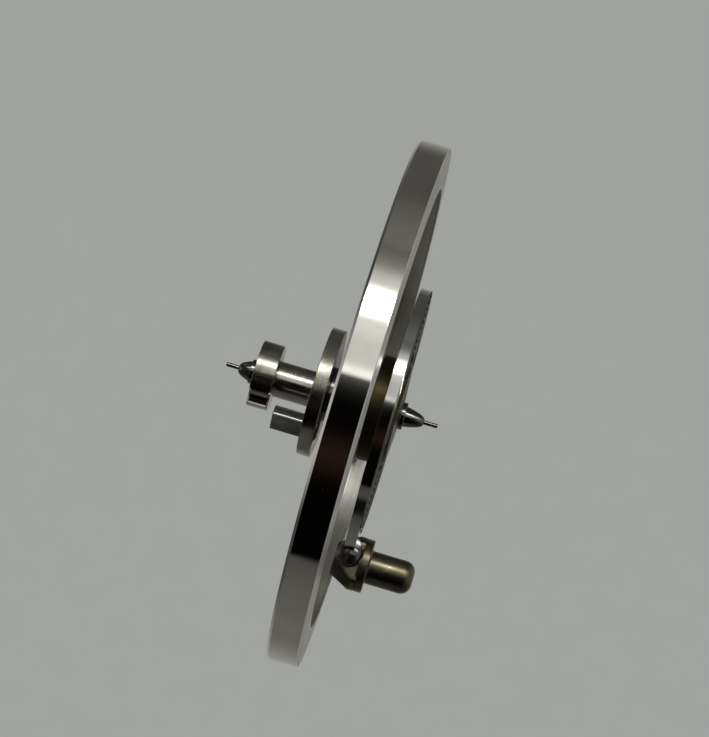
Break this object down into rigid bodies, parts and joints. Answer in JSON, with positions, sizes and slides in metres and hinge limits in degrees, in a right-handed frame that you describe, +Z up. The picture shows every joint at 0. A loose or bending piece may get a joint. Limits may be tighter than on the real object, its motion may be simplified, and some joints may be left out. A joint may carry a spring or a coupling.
{
  "type": "balance wheel with hairspring",
  "caption": "Watch balance: a polished rimmed wheel riveted to a pivoted staff with impulse and safety rollers, and a flat spiral hairspring from its collet to a stud.",
  "frame": {"origin": "on the axis of the balance staff, halfway through the thickness of the arms", "axes": "+Y along the staff towards the hairspring and the stud's stem, +Z up with the stud below the staff, +X towards the side from which the wheel is seen edge-on"},
  "size_m": [0.01, 0.0045, 0.01],
  "materials": {
    "polished_wheel": "polished",
    "polished_steel": "polished",
    "roller_steel": "satin",
    "jewel_stone": "polished",
    "shellac": "gloss",
    "collet_brass": "satin",
    "spring_alloy": "polished",
    "gilt_brass": "polished",
    "cement": "gloss"
  },
  "bodies": {
    "stud": {"hairspring_stud": "gilt_brass", "stud_cement": "cement", "hairspring": "spring_alloy"},
    "balance": {"balance_wheel": "polished_wheel", "balance_staff": "polished_steel", "impulse_roller": "roller_steel", "safety_roller": "roller_steel", "impulse_jewel": "jewel_stone", "jewel_shellac": "shellac", "hairspring_collet": "collet_brass", "collet_pin": "collet_brass"}
  },
  "joints": [
    {"name": "balance_swing", "type": "hinge", "parent": "stud", "child": "balance", "pos_m": [0, 0, 0], "axis": [0, 1, 0], "range_deg": [-300, 300], "stiffness_Nm_per_rad": 0.00000085, "deforming": ["hairspring"]}
  ]
}
